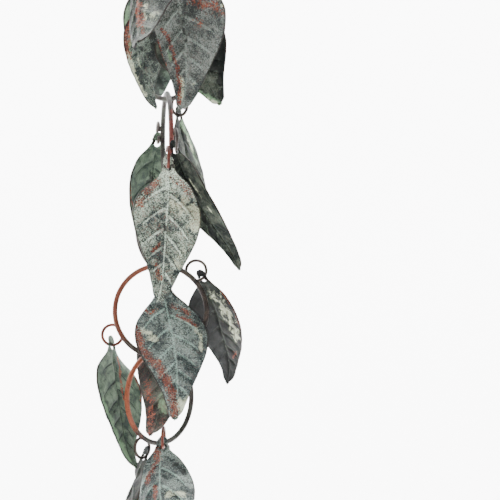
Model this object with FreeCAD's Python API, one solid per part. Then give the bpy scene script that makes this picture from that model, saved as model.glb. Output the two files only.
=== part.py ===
import FreeCAD, Part

import math
import os
from dataclasses import dataclass

# Rain chain of copper leaves, in millimetres. +Z is up and the camera side is -Y.
# The origin is the top of the uppermost ring, where the chain hangs from its hook.
# Eight big rings hang through one another. On them sit small open loops, brazed on, and one
# embossed sheet leaf hangs from each loop by the hole in its tab.

VECTOR = FreeCAD.Vector
UP = VECTOR(0, 0, 1)
NO_SHIFT = VECTOR(0, 0, 0)

# big ring, a closed ring of round rod
RING_RADIUS = 27.5          # to the middle of the rod
RING_ROD = 3.0
LINK_CLEARANCE = 0.3        # between two linked rings, at the place where one hangs on the other

# small loop, an open ring of thinner rod brazed to the face of a big ring
LOOP_RADIUS = 6.05
LOOP_ROD = 1.8
LOOP_OVERHANG = 4.9         # from the middle of the big ring's rod out to the loop's centre
LOOP_REACH = RING_RADIUS + LOOP_OVERHANG
LOOP_OPENING = 30.0         # degrees between the cut ends, on the side toward the ring's centre
BRAZE_RADIUS = 1.2
BRAZE_CLEARANCE = 0.02

# leaf, cut from sheet
SHEET = 0.8
HOLE_RADIUS = 2.1
TAB_RADIUS = 3.5
TAB_CENTRE = -3.7           # above the hole: negative, as lengths run down the leaf
LEAF_END = 81.0
HALF_WIDTH_MAX = 20.6
MIDRIB_RELIEF = 0.8         # of the net of points, which the smooth sheet flattens by a third
VEIN_RELIEF = 0.75          # of the net of points, which the smooth sheet flattens by half
VEIN_PITCH = 12.9           # between two side veins, along the midrib
ROWS_PER_VEIN = 3
FIRST_VEIN = 12.0
VEIN_LEAD = 11.0            # how much lower a side vein meets the margin than it leaves the midrib
TIP_LEAD = 12.5             # taken off the lead toward the tip
DRAW_IN = 0.41              # how much a cupped margin comes nearer to the midrib

# stretches along the leaf: where each starts, down from the hole, and how long it runs
NECK_BEND = (3.0, 12.0)
BLADE_CUP = (4.0, 14.0)
BLADE_TWIST = (2.0, 14.0)
BLADE_CURL = (10.0, 70.0)
TIP_BEND = (55.0, 26.0)
SIDE_SWEEP = (12.0, 69.0)
SHOULDER = (5.0, 15.0)
RELIEF_START = (5.0, 10.0)
RELIEF_END = (61.0, 20.0)
LEAD_END = (36.0, 45.0)
TAB_ROWS = (-3.4, 0.0, 3.0, 6.0, 9.0)

# half width of the flat leaf at lengths below its hole
OUTLINE = (
    (-7.2, 3.4), (-3.6, 3.5), (0.0, 4.1), (3.0, 5.6), (6.0, 8.2), (9.5, 11.8), (16.5, 17.2),
    (22.5, 19.8), (30.0, 20.6), (40.0, 18.6), (49.5, 14.7), (56.0, 11.7), (63.0, 8.6), (71.5, 5.6),
    (78.0, 3.4), (81.0, 2.0),
)

# across the leaf: the midrib has its own three lines of points
ACROSS = (-1.0, -0.8, -0.55, -0.3, -0.12, 0.0, 0.12, 0.3, 0.55, 0.8, 1.0)


@dataclass(frozen=True)
class RingPlace:
    """A big ring: the heading of its plane, and where it sits on the ring above.

    Args:
        heading: angle of the ring's plane about the vertical, degrees.
        above: how far along the upper ring's rod it hangs from that ring's lowest point, mm.
        below: how far along its own rod, from its highest point, the upper ring bears, mm.
    """
    heading: float
    above: float = 0.0
    below: float = 0.0


@dataclass(frozen=True)
class LeafPlace:
    """A leaf with its loop: where it hangs and how its sheet was bent.

    Args:
        ring: number of the big ring, from the top.
        at: where on the ring the loop sits, degrees from the ring's own side, upward.
        side: +1 or -1, the face of the ring with the loop.
        facing: heading of the blade's visible face, degrees from the camera side to the right.
        cant: where on the loop the tab hangs, degrees from its lowest point.
        lean: tilt of the whole leaf toward its visible face, degrees.
        bend: further tilt made at the neck, degrees.
        twist: twist between tab and blade, degrees.
        swing: turn about the loop's rod, degrees.
        curl: bend spread along the blade, degrees.
        tip: bend added at the tip, degrees.
        cup: drop of the margins behind the midrib, mm (negative: in front of it).
        roll: drop of one margin and rise of the other, mm.
        sway: sideways sweep of the tip, mm.
        size: scale of the leaf.
        wide: scale of its blade's width alone.
        seat: how far the hole's centre hangs below the loop's rod, mm.
        shift: sideways place of the hole on the rod, mm.
        veins: +1 when the visible face has raised veins, -1 when they are sunk.
    """
    ring: int
    at: float
    side: int
    facing: float
    cant: float = 0.0
    lean: float = 0.0
    bend: float = 0.0
    twist: float = 0.0
    swing: float = 0.0
    curl: float = 0.0
    tip: float = 0.0
    cup: float = 0.0
    roll: float = 0.0
    sway: float = 0.0
    size: float = 1.0
    wide: float = 1.0
    seat: float = 0.8
    shift: float = 0.0
    veins: int = 1


RINGS = (
    RingPlace(58),
    RingPlace(92),
    RingPlace(140),
    RingPlace(96),
    RingPlace(128, above=0, below=2.1),
    RingPlace(0, above=2.1, below=-1.2),
    RingPlace(46, above=-0.9, below=0),
    RingPlace(84, above=3.0, below=0),
)

LEAVES = (
    LeafPlace(ring=1, at=-145, side=-1, facing=-5, cant=-16, lean=21, bend=5, twist=11, swing=-4, curl=22,
              tip=36, cup=8.5, roll=-8, sway=7, size=1.29, wide=1.29, seat=0.9, shift=-0.2),
    LeafPlace(ring=1, at=26, side=1, facing=111, cant=15, lean=16, twist=-8, cup=5, size=0.98, wide=0.98,
              seat=0.9, shift=-0.1),
    LeafPlace(ring=1, at=150, side=1, facing=-78, cant=-15, lean=14, twist=-6, cup=5, seat=0.7),
    LeafPlace(ring=2, at=172, side=-1, facing=-32, cant=-21, lean=27, bend=-22, twist=5, swing=-21,
              curl=23, tip=23, cup=6.5, roll=15, sway=-10, size=1.08, wide=0.8, seat=0.8),
    LeafPlace(ring=2, at=219, side=-1, facing=22, cant=20, twist=-4, swing=-28, curl=-12, tip=7,
              roll=-5, sway=2, size=0.79, wide=1.34, seat=0.5, shift=0.7, veins=-1),
    LeafPlace(ring=2, at=11, side=-1, facing=20, cant=3, lean=-11, bend=-4, twist=3, swing=7, curl=-1,
              cup=-1.5, sway=-0.5, size=1.05, wide=1.12, seat=0.9, shift=-0.4, veins=-1),
    LeafPlace(ring=2, at=212, side=1, facing=51, cant=5, lean=-10, twist=10, swing=24, curl=42,
              tip=14, cup=1.5, roll=2.5, sway=22, size=0.79, wide=1.12, seat=0.5, shift=-0.2, veins=-1),
    LeafPlace(ring=3, at=-104, side=-1, facing=62, cant=5, lean=6, bend=7, twist=-3, swing=-1, curl=13,
              tip=-28, cup=-0.5, roll=1, sway=3, size=0.93, seat=0.9, shift=0.1, veins=-1),
    LeafPlace(ring=4, at=200, side=1, facing=-58, cant=-18, lean=-6, bend=13, twist=-29, curl=21, tip=26,
              roll=6, sway=6, size=1.03, wide=0.96, seat=0.4, shift=0.4),
    LeafPlace(ring=4, at=8, side=1, facing=21, cant=-11, lean=-7, bend=5, twist=-4, swing=7, curl=2, tip=6,
              cup=-5, sway=8.5, size=0.95, wide=0.97, seat=0.7, shift=-0.6, veins=-1),
    LeafPlace(ring=4, at=181, side=-1, facing=-39, cant=16, lean=-9, bend=-9, twist=-17, swing=-15, curl=34,
              tip=45, cup=-9.5, roll=-6.5, sway=24, size=0.94, wide=0.68, seat=0.9, shift=-0.3, veins=-1),
    LeafPlace(ring=5, at=-95, side=1, facing=11, cant=11, lean=13, bend=19, twist=-6, swing=-8, curl=-1,
              tip=-37, cup=1, sway=-11, size=1.04, wide=1.1, seat=0.6, shift=-0.6),
    LeafPlace(ring=5, at=-79, side=-1, facing=12, cant=-11, lean=-7, bend=-6, twist=1, swing=-11, curl=-15,
              tip=-22, cup=-6.5, roll=-1.5, sway=-12, size=1.23, wide=0.92, seat=0.7, shift=0.3, veins=-1),
    LeafPlace(ring=6, at=206, side=1, facing=68, cant=-3, lean=6, bend=3, twist=5, swing=-14, curl=-8,
              tip=34, cup=-1.5, roll=-2, sway=10, size=0.94, wide=1.16, seat=0.9, shift=-0.3, veins=-1),
    LeafPlace(ring=6, at=49, side=1, facing=-34, cant=40, lean=-35, bend=5, twist=3, swing=-3, curl=-16,
              tip=38, cup=-3.5, roll=-1.5, sway=-17, size=0.93, wide=1.16, seat=0.6, shift=0.2, veins=-1),
    LeafPlace(ring=7, at=-112, side=1, facing=-45, cant=19, lean=18, bend=7, twist=19, swing=2, curl=-6,
              cup=4.5, roll=-1, sway=-0.5, size=1.01, wide=0.95, seat=0.1, shift=-0.4),
    LeafPlace(ring=8, at=121, side=-1, facing=-3, cant=-34, lean=46, bend=5, twist=13, swing=-10, curl=-17,
              tip=-2, cup=8, roll=2.5, sway=10.5, size=1.19, wide=0.82, seat=0.8, shift=-0.5),
    LeafPlace(ring=8, at=45, side=1, facing=33, cant=15, lean=-24, bend=-12, twist=-5, curl=8, cup=-4,
              seat=0.6, shift=-0.1, veins=-1),
)


def ease(x):
    """Smooth step from 0 to 1."""
    x = min(max(x, 0.0), 1.0)
    return x * x * (3.0 - 2.0 * x)


def share(length, stretch):
    """How far a length is along a stretch: 0 at its start, 1 at its end."""
    return (length - stretch[0]) / stretch[1]


def half_width(length):
    """Half width of the flat leaf, a smooth curve through OUTLINE."""
    if length <= OUTLINE[0][0]:
        return OUTLINE[0][1]
    if length >= OUTLINE[-1][0]:
        return OUTLINE[-1][1]
    i = max(k for k in range(len(OUTLINE) - 1) if OUTLINE[k][0] <= length)

    def slope(k):
        low = max(k - 1, 0)
        high = min(k + 1, len(OUTLINE) - 1)
        return (OUTLINE[high][1] - OUTLINE[low][1]) / (OUTLINE[high][0] - OUTLINE[low][0])

    step = OUTLINE[i + 1][0] - OUTLINE[i][0]
    t = (length - OUTLINE[i][0]) / step
    start = (2 * t**3 - 3 * t**2 + 1) * OUTLINE[i][1] + (t**3 - 2 * t**2 + t) * slope(i) * step
    end = (3 * t**2 - 2 * t**3) * OUTLINE[i + 1][1] + (t**3 - t**2) * slope(i + 1) * step
    return start + end


def smooth_sheet(net):
    """Cubic surface shaped by a net of points; its edges follow the net's outer points."""
    knots = []
    counts = []
    for number in (len(net), len(net[0])):
        spans = number - 3
        knots.append([i / spans for i in range(spans + 1)])
        counts.append([4] + [1] * (spans - 1) + [4])
    sheet = Part.BSplineSurface()
    sheet.buildFromPolesMultsKnots(net, counts[0], counts[1], knots[0], knots[1], False, False, 3, 3)
    return sheet


class Ring:
    """A big ring in its place, with the axes that its loops are laid out on."""

    def __init__(self, place, upper=None):
        turn = math.radians(place.heading)
        self.along = VECTOR(math.cos(turn), math.sin(turn), 0)
        self.normal = VECTOR(-math.sin(turn), math.cos(turn), 0)
        if upper is None:
            self.centre = VECTOR(0, 0, -(RING_RADIUS + RING_ROD / 2))
            return
        rise_above = math.sqrt(RING_RADIUS**2 - place.above**2)
        rise_below = math.sqrt(RING_RADIUS**2 - place.below**2)
        drop = rise_above + rise_below - RING_ROD - LINK_CLEARANCE
        self.centre = upper.centre + upper.along * place.above + self.along * place.below - UP * drop

    def point(self, radius, angle, offset=0.0):
        turn = math.radians(angle)
        return (self.centre + self.along * (radius * math.cos(turn)) + UP * (radius * math.sin(turn))
                + self.normal * offset)

    def solid(self, extra=0.0):
        return Part.makeTorus(RING_RADIUS, RING_ROD / 2 + extra, self.centre, self.normal)


def loop_centre(ring, place):
    offset = place.side * (RING_ROD + LOOP_ROD) / 2
    return ring.point(LOOP_REACH, place.at, offset)


def loop_solid(ring, place):
    """The open loop with its two braze beads, fitted to the big ring's rod."""
    centre = loop_centre(ring, place)
    first = math.radians(place.at + 180 + LOOP_OPENING / 2)
    outward = ring.along * math.cos(first) + UP * math.sin(first)
    tangent = UP * math.cos(first) - ring.along * math.sin(first)
    section = Part.Face(Part.Wire(Part.makeCircle(LOOP_ROD / 2, centre + outward * LOOP_RADIUS, tangent)))
    solid = section.revolve(centre, ring.normal * -1, 360 - LOOP_OPENING)
    # the two circles cross at this radial distance and this far to each side of it
    radial = (LOOP_REACH**2 + RING_RADIUS**2 - LOOP_RADIUS**2) / (2 * LOOP_REACH)
    aside = math.degrees(math.acos(radial / RING_RADIUS))
    for angle in (place.at - aside, place.at + aside):
        foot = ring.point(RING_RADIUS, angle)
        bead = Part.makeCylinder(BRAZE_RADIUS, (RING_ROD + LOOP_ROD) / 2, foot, ring.normal * place.side)
        solid = solid.fuse(bead)
    return solid.cut(ring.solid(BRAZE_CLEARANCE)).removeSplitter()


class Leaf:
    """The sheet leaf: a flat outline with a bent, cupped and embossed blade."""

    def __init__(self, ring, place):
        self.place = place
        hang = math.radians(place.cant - 90)
        self.rod = (loop_centre(ring, place) + ring.along * (LOOP_RADIUS * math.cos(hang))
                    + UP * (LOOP_RADIUS * math.sin(hang)))
        self.rod_axis = UP * math.cos(hang) - ring.along * math.sin(hang)
        heading = math.radians(place.facing - place.twist)
        lean = math.radians(place.lean)
        level = VECTOR(math.sin(heading), -math.cos(heading), 0)
        self.across = VECTOR(math.cos(heading), math.sin(heading), 0)
        self.normal = level * math.cos(lean) + UP * math.sin(lean)
        self.upward = UP * math.cos(lean) - level * math.sin(lean)
        self.swing = FreeCAD.Rotation(self.rod_axis, place.swing)
        self.spines = {}

    def spine(self, length):
        """Slope of the bent midline at a length, and its place: forward and upward."""
        if length not in self.spines:
            steps = max(2, int(abs(length) / 2.0) + 1)
            step = length / steps
            forward = 0.0
            upward = 0.0
            for i in range(steps):
                slope = self.slope((i + 0.5) * step)
                forward += math.sin(slope) * step
                upward -= math.cos(slope) * step
            self.spines[length] = (self.slope(length), forward, upward)
        return self.spines[length]

    def slope(self, length):
        neck = self.place.bend * ease(share(length, NECK_BEND))
        blade = self.place.curl * max(share(length, BLADE_CURL), 0.0)
        end = self.place.tip * max(share(length, TIP_BEND), 0.0)**2
        return math.radians(neck + blade + end)

    def point(self, aside, length, relief=0.0):
        """A point of the visible face: aside to the right, length down from the hole."""
        place = self.place
        slope, forward, upward = self.spine(length)
        shape = ease(share(length, BLADE_CUP))
        w = aside / HALF_WIDTH_MAX
        drop = shape * (place.cup * w * w + place.roll * w)
        drawn_in = aside * (1.0 - DRAW_IN * shape * abs(place.cup) / HALF_WIDTH_MAX * w * w)
        down = VECTOR(0, math.sin(slope), -math.cos(slope))
        turn = FreeCAD.Rotation(down, -place.twist * ease(share(length, BLADE_TWIST)))
        sideways = turn.multVec(VECTOR(1, 0, 0))
        outward = turn.multVec(VECTOR(0, math.cos(slope), math.sin(slope)))
        sweep = place.sway * max(share(length, SIDE_SWEEP), 0.0)**2
        tab = min(place.wide, 1.0)
        wide = tab + (place.wide - tab) * shape
        local = VECTOR(0, forward, upward) + sideways * (drawn_in * wide + sweep) + outward * (relief - drop)
        return self.place_point(local * place.size)

    def place_point(self, local):
        p = (self.across * (local.x + self.place.shift) + self.normal * (local.y + SHEET / 2)
             + self.upward * (local.z - self.place.seat))
        return self.rod + self.swing.multVec(p)

    def face_normal(self, aside, length):
        h = 0.05
        right = self.point(aside + h, length) - self.point(aside - h, length)
        down = self.point(aside, length + h) - self.point(aside, length - h)
        return down.cross(right).normalize()

    def rows(self):
        """The net of points: (aside, length, relief), in rows that follow the side veins."""
        turns = [math.pi / 2 * v for v in ACROSS]
        net = [[(TAB_RADIUS * math.sin(t), TAB_CENTRE - TAB_RADIUS * math.cos(t), 0.0) for t in turns]]
        step = VEIN_PITCH / ROWS_PER_VEIN
        blade_rows = round((LEAF_END - FIRST_VEIN) / step)
        lengths = list(TAB_ROWS) + [FIRST_VEIN + step * i for i in range(blade_rows)] + [LEAF_END]
        for count, length in enumerate(lengths, -len(TAB_ROWS)):
            lead = VEIN_LEAD * ease(share(length, SHOULDER)) - TIP_LEAD * ease(share(length, LEAD_END))
            crest = 1.0 if count % ROWS_PER_VEIN == 0 else -0.5
            blade = ease(share(length, RELIEF_START))
            fade = 1.0 - ease(share(length, RELIEF_END))
            row = []
            for v in ACROSS:
                reach = length + lead * abs(v)
                relief = VEIN_RELIEF * crest * blade * fade * ease(abs(v) / 0.3) * (1.0 - 0.5 * abs(v))
                if v == 0.0:
                    relief = MIDRIB_RELIEF * blade * (0.4 + 0.6 * fade)
                row.append((half_width(reach) * v, reach, relief))
            net.append(row)
        return net

    def solid(self):
        front = []
        back = []
        for row in self.rows():
            front.append([self.point(a, b, self.place.veins * r) for a, b, r in row])
            back.append([p - self.face_normal(a, b) * SHEET for p, (a, b, r) in zip(front[-1], row)])
        sheets = [smooth_sheet(front), smooth_sheet(back)]
        faces = [sheet.toShape() for sheet in sheets]
        u0, u1, v0, v1 = sheets[0].bounds()
        w0, w1, x0, x1 = sheets[1].bounds()
        rims = ((sheets[0].uIso(u0), sheets[1].uIso(w0)), (sheets[0].uIso(u1), sheets[1].uIso(w1)),
                (sheets[0].vIso(v0), sheets[1].vIso(x0)), (sheets[0].vIso(v1), sheets[1].vIso(x1)))
        for one, other in rims:
            faces.append(Part.makeRuledSurface(one.toShape(), other.toShape()))
        shell = Part.makeShell(faces)
        shell.sewShape()
        blade = Part.makeSolid(shell)
        if blade.Volume < 0:
            blade.reverse()
        hole = self.place_point(VECTOR(0, -SHEET / 2, 0))
        axis = self.swing.multVec(self.normal)
        drill = Part.makeCylinder(HOLE_RADIUS, 6 * SHEET, hole - axis * (3 * SHEET), axis)
        return blade.cut(drill)


def build():
    """All pieces, by node name."""
    pieces = {}
    rings = []
    for number, place in enumerate(RINGS, 1):
        rings.append(Ring(place, rings[-1] if rings else None))
        pieces["ring_%d" % number] = rings[-1].solid()
    for number, place in enumerate(LEAVES, 1):
        ring = rings[place.ring - 1]
        pieces["loop_%02d" % number] = loop_solid(ring, place)
        pieces["leaf_%02d" % number] = Leaf(ring, place).solid()
    return pieces


os.makedirs("parts", exist_ok=True)
for name, shape in build().items():
    if not shape.isValid() or len(shape.Solids) != 1:
        print("check", name, "valid", shape.isValid(), "solids", len(shape.Solids))
    shape.exportStep("parts/%s.step" % name)
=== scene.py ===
import logging
import math
from dataclasses import dataclass, field
from enum import Enum
from typing import Dict, List, Optional, Sequence, Tuple

import bmesh
import bpy
from mathutils import Matrix, Vector, noise


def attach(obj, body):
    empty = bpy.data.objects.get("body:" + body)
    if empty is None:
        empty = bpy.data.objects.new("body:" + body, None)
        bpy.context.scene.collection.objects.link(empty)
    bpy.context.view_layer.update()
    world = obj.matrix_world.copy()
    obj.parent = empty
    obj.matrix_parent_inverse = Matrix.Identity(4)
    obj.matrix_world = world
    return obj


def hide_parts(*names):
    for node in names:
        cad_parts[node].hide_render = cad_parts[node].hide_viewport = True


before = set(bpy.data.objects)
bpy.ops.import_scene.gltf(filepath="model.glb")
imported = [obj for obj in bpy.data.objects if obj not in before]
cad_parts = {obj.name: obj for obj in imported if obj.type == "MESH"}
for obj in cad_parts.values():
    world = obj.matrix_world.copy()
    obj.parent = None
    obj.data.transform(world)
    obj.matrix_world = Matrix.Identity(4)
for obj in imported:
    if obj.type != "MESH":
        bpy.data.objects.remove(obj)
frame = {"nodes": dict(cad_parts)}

LOG = logging.getLogger("rain_chain")
MM = 0.001
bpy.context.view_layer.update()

Triple = Tuple[float, float, float]
Colour = Triple
Path = Tuple[Tuple[float, float], ...]
Socket = bpy.types.NodeSocket


class Veins(Enum):
    """Whether the visible face has raised or sunk veins."""

    RAISED = 1
    SUNK = -1


class Tint(Enum):
    """The four kinds of patch that lie on the ground colour of a leaf; the dark tint also paints shade, and
    the pale tint a highlight.
    """

    RED = 0
    PALE_AND_HIGHLIGHT = 1
    DARK_AND_SHADE = 2
    GREEN = 3


@dataclass(frozen=True)
class Mark:
    """One patch or streak of a tint on a leaf; a few of them paint shade and one paints a highlight.

    Args:
        tint: which of the four tints.
        path: points (aside, length) in mm on the flat leaf.
        width: reach of the patch on each side of its path, mm.
        strength: 0 to 1.
    """

    tint: Tint
    path: Path
    width: float
    strength: float = 1.0


@dataclass(frozen=True)
class Patina:
    """Colours of an aged copper sheet, linear RGB; a few sets are darkened to paint shade.

    Args:
        low: ground colour where the mottling is dark.
        high: ground colour where the mottling is light.
        vein: colour of the worn veins.
        rim: colour of the margin.
        speckle: 0 to 1, how strongly fine dark and light grains show.
        rough: roughness.
        rust: share of stray red grains.
        vein_show: 0 to 1, how clearly the veins are tinted.
    """

    low: Colour
    high: Colour
    vein: Colour = (0.30, 0.40, 0.33)
    rim: Colour = (0.020, 0.014, 0.012)
    speckle: float = 0.5
    rough: float = 0.62
    rust: float = 0.15
    vein_show: float = 0.8


RED: Colour = (0.155, 0.040, 0.032)
ORANGE: Colour = (0.27, 0.088, 0.042)
# pale patina; on one leaf also a painted highlight
PALE_AND_HIGHLIGHT: Colour = (0.58, 0.62, 0.44)
# dark patina and rod grain; on leaves also painted shade
DARK_AND_SHADE: Colour = (0.006, 0.007, 0.007)
PIT: Colour = (0.012, 0.014, 0.014)
GREEN: Colour = (0.15, 0.24, 0.14)
LIGHT_SPECK: Colour = (0.16, 0.17, 0.13)

# how strongly the grain breaks up the edge of each tint
RAGGED: Dict[Tint, float] = {Tint.RED: 1.7, Tint.PALE_AND_HIGHLIGHT: 1.0, Tint.DARK_AND_SHADE: 1.2, Tint.GREEN: 0.7}

GREY_MOTTLED = Patina(
    low=(0.036, 0.046, 0.045), high=(0.165, 0.205, 0.182), vein=(0.25, 0.37, 0.31), speckle=0.8)
GREY_FLAT = Patina(
    low=(0.050, 0.058, 0.054), high=(0.150, 0.166, 0.150), vein=(0.24, 0.29, 0.25), speckle=0.7,
    vein_show=0.65)
LIGHT_MOTTLED = Patina(
    low=(0.062, 0.076, 0.070), high=(0.33, 0.39, 0.31), vein=(0.62, 0.73, 0.60), speckle=0.95, rust=0.45,
    vein_show=1.0)
SHADED = Patina(
    low=(0.026, 0.034, 0.031), high=(0.140, 0.172, 0.142), vein=(0.22, 0.27, 0.22), speckle=0.8,
    vein_show=0.4)
# painted shade: a darker copy of the grey patina for the folded top leaf
FOLD_SHADE = Patina(
    low=(0.012, 0.015, 0.014), high=(0.085, 0.100, 0.085), vein=(0.20, 0.24, 0.19), speckle=0.8,
    vein_show=0.5)
NEAR_BLACK = Patina(
    low=(0.005, 0.006, 0.006), high=(0.022, 0.027, 0.022), vein=(0.10, 0.125, 0.10), speckle=0.35, rust=0.08,
    vein_show=0.4)
SMOOTH_GREEN = Patina(
    low=(0.042, 0.060, 0.048), high=(0.140, 0.190, 0.134), vein=(0.018, 0.026, 0.022), speckle=0.15,
    rough=0.5, rust=0.02, vein_show=0.8)
OLIVE = Patina(
    low=(0.009, 0.012, 0.011), high=(0.066, 0.078, 0.060), vein=(0.10, 0.125, 0.10), speckle=0.4, rust=0.05,
    vein_show=0.4)
DARK_BROWN = Patina(
    low=(0.009, 0.008, 0.007), high=(0.046, 0.048, 0.037), vein=(0.10, 0.10, 0.08), speckle=0.4, rust=0.3,
    vein_show=0.5)


@dataclass(frozen=True)
class LeafPlace:
    """Where a leaf hangs, how its sheet is bent, and its patina.

    Args:
        ring: number of the big ring, from the top.
        at: where on the ring its loop sits, degrees from the ring's own side, upward.
        side: +1 or -1, the face of the ring with the loop.
        facing: heading of the visible face, degrees from the camera side to the right.
        cant: where on the loop the tab hangs, degrees from its lowest point.
        lean: tilt of the whole leaf toward its visible face, degrees.
        bend: further tilt made at the neck, degrees.
        twist: twist between tab and blade, degrees.
        swing: turn about the loop's rod, degrees.
        curl: bend spread along the blade, degrees.
        tip: bend added at the tip, degrees.
        cup: drop of the margins behind the midrib, mm.
        roll: drop of one margin and rise of the other, mm.
        sway: sideways sweep of the tip, mm.
        size: scale of the leaf.
        wide: scale of its blade's width alone.
        left: scale of the half left of the midrib, where it is folded back.
        seat: how far the hole's centre hangs below the loop's rod, mm.
        shift: sideways place of the hole on the rod, mm.
        veins: raised or sunk on the visible face.
        patina: ground colours.
        marks: patches and streaks.
    """

    ring: int
    at: float
    side: int
    facing: float
    cant: float = 0.0
    lean: float = 0.0
    bend: float = 0.0
    twist: float = 0.0
    swing: float = 0.0
    curl: float = 0.0
    tip: float = 0.0
    cup: float = 0.0
    roll: float = 0.0
    sway: float = 0.0
    size: float = 1.0
    wide: float = 1.0
    left: float = 1.0
    seat: float = 0.8
    shift: float = 0.0
    veins: Veins = Veins.RAISED
    patina: Patina = GREY_MOTTLED
    marks: Tuple[Mark, ...] = ()


# each big ring's heading in degrees, then how far from the middle it hangs on the ring above, mm, measured
# along that ring and along its own
RINGS: Tuple[Triple, ...] = (
    (58, 0, 0), (92, 0, 0), (140, 0, 0), (96, 0, 0),
    (128, 0, 2.1), (0, 2.1, -1.2), (46, -0.9, 0), (84, 3.0, 0),
)

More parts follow.
